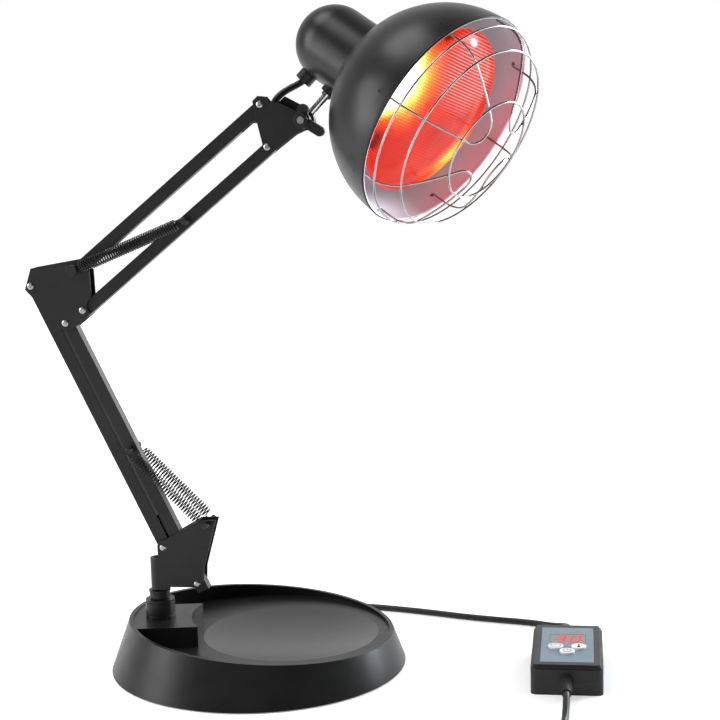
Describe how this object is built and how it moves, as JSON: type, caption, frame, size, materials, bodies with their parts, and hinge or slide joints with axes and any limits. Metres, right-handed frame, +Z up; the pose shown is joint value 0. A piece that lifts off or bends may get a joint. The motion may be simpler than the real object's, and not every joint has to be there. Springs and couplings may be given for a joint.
{
  "type": "infrared heat lamp",
  "caption": "Free-standing infrared heat lamp: round weighted base, sprung swing arm, swivelling bowl shade with a wire guard, and a corded controller with push buttons.",
  "frame": {"origin": "middle of the base's underside, on the table", "axes": "+Z up; +X to the right in the picture, where the arm reaches and the head points; the arm swings in the plane X-Z at y = -12.4 mm"},
  "size_m": [0.5101, 0.4174, 0.4926],
  "materials": {
    "black_shell": "satin",
    "black_paint": "satin",
    "steel": "satin",
    "rivet_steel": "bright",
    "chrome": "polished",
    "black_steel": "satin",
    "black_plastic": "fine texture",
    "rubber": "matte",
    "cord_pvc": "satin",
    "brass": "bright",
    "ceramic": "glazed ceramic",
    "cap_metal": "bright",
    "red_glass": "moulded lens",
    "panel": "printed film",
    "display": "clear window",
    "board": "circuit board",
    "white_key": "gloss"
  },
  "bodies": {
    "base": {"base_shell": "black_shell", "ballast_plate": "steel", "bottom_cover": "black_plastic", "rubber_feet": "rubber", "cover_screws": "steel", "post_socket": "black_shell", "socket_nut": "steel", "base_grommet": "rubber", "supply_cord": "cord_pvc", "lead_cord": "cord_pvc", "cord_coil": "cord_pvc", "coil_tie": "cord_pvc", "plug_body": "cord_pvc", "plug_pins": "brass", "controller_base": "black_plastic", "controller_cover": "black_plastic", "control_panel": "panel", "display_module": "display", "circuit_board": "board", "controller_screws": "steel", "controller_grommets": "rubber"},
    "post": {"post_tube": "black_paint", "stop_collar": "black_shell", "lower_bracket": "black_paint", "lower_rivets": "rivet_steel", "lower_anchor_pins": "black_steel", "lower_spring_front": "black_steel", "lower_spring_rear": "black_steel"},
    "lower_arm": {"lower_bar_rear": "black_paint", "lower_arm_cord": "cord_pvc"},
    "lower_link": {"lower_bar_front": "black_paint", "lower_cross_pin": "black_steel"},
    "elbow": {"elbow_plate_front": "black_paint", "elbow_plate_rear": "black_paint", "elbow_rivets": "rivet_steel", "elbow_anchor_pin": "black_steel", "upper_spring_front": "black_steel", "upper_spring_rear": "black_steel"},
    "upper_arm": {"upper_bar_top": "black_paint", "upper_arm_cord": "cord_pvc"},
    "upper_link": {"upper_bar_bottom": "black_paint", "upper_cross_pin": "black_steel"},
    "head_bracket": {"head_plate_front": "black_paint", "head_plate_rear": "black_paint", "head_rivets": "rivet_steel", "tilt_bolt": "rivet_steel", "head_cord": "cord_pvc"},
    "clamp_nut": {"wing_nut": "black_plastic"},
    "tilt_block": {"swivel_barrel": "black_steel", "head_rod": "chrome"},
    "lamp_head": {"lamp_cup": "black_paint", "cable_gland": "black_plastic", "lamp_shade": "black_paint", "lamp_holder": "ceramic", "lamp_cap": "cap_metal", "lamp_bulb": "red_glass", "wire_guard": "chrome"},
    "time_key": {"button_time": "white_key"},
    "temp_key": {"button_temp": "white_key"},
    "power_key": {"button_power": "white_key"}
  },
  "joints": [
    {"name": "post_swivel", "type": "hinge", "parent": "base", "child": "post", "pos_m": [-0.07326, -0.01239, 0.06], "axis": [0, 0, 1], "range_deg": [-150, 150]},
    {"name": "lower_arm_pivot", "type": "hinge", "parent": "post", "child": "lower_arm", "pos_m": [-0.06756, -0.01239, 0.0941], "axis": [0, 1, 0], "range_deg": [-2, 60], "deforming": ["lower_spring_front", "lower_spring_rear"]},
    {"name": "lower_link_pivot", "type": "hinge", "parent": "post", "child": "lower_link", "pos_m": [-0.04216, -0.01239, 0.0661], "axis": [0, 1, 0], "range_deg": [-2, 60]},
    {"name": "elbow_pivot", "type": "hinge", "parent": "lower_arm", "child": "elbow", "pos_m": [-0.16054, -0.01239, 0.29349], "axis": [0, 1, 0], "range_deg": [-60, 2]},
    {"name": "upper_arm_pivot", "type": "hinge", "parent": "elbow", "child": "upper_arm", "pos_m": [-0.12574, -0.01239, 0.30549], "axis": [0, 1, 0], "range_deg": [-35, 70], "deforming": ["upper_spring_front", "upper_spring_rear", "head_cord"]},
    {"name": "upper_link_pivot", "type": "hinge", "parent": "elbow", "child": "upper_link", "pos_m": [-0.12134, -0.01239, 0.27499], "axis": [0, 1, 0], "range_deg": [-35, 70]},
    {"name": "head_bracket_pivot", "type": "hinge", "parent": "upper_arm", "child": "head_bracket", "pos_m": [0.01781, -0.01239, 0.42298], "axis": [0, 1, 0], "range_deg": [-70, 35]},
    {"name": "head_tilt", "type": "hinge", "parent": "head_bracket", "child": "tilt_block", "pos_m": [0.04931, -0.01239, 0.41088], "axis": [0, 1, 0], "range_deg": [-40, 50]},
    {"name": "head_swivel", "type": "hinge", "parent": "tilt_block", "child": "lamp_head", "pos_m": [0.04931, -0.01239, 0.41088], "axis": [0.6947, 0, 0.7193], "range_deg": [-34, 86]},
    {"name": "clamp_nut_turn", "type": "hinge", "parent": "head_bracket", "child": "clamp_nut", "pos_m": [0.04931, -0.01239, 0.41088], "axis": [0, 1, 0], "range_deg": [-90, 90]},
    {"name": "time_press", "type": "slide", "parent": "base", "child": "time_key", "axis": [0, 0, -1], "range_m": [0, 0.0008], "stiffness_N_per_m": 500, "springref_m": -0.001},
    {"name": "temp_press", "type": "slide", "parent": "base", "child": "temp_key", "axis": [0, 0, -1], "range_m": [0, 0.0008], "stiffness_N_per_m": 500, "springref_m": -0.001},
    {"name": "power_press", "type": "slide", "parent": "base", "child": "power_key", "axis": [0, 0, -1], "range_m": [0, 0.0008], "stiffness_N_per_m": 500, "springref_m": -0.001}
  ],
  "couplings": [
    {"joint": "lower_link_pivot", "follows": "lower_arm_pivot", "ratio": 1},
    {"joint": "elbow_pivot", "follows": "lower_arm_pivot", "ratio": -1},
    {"joint": "upper_link_pivot", "follows": "upper_arm_pivot", "ratio": 1},
    {"joint": "head_bracket_pivot", "follows": "upper_arm_pivot", "ratio": -1}
  ]
}
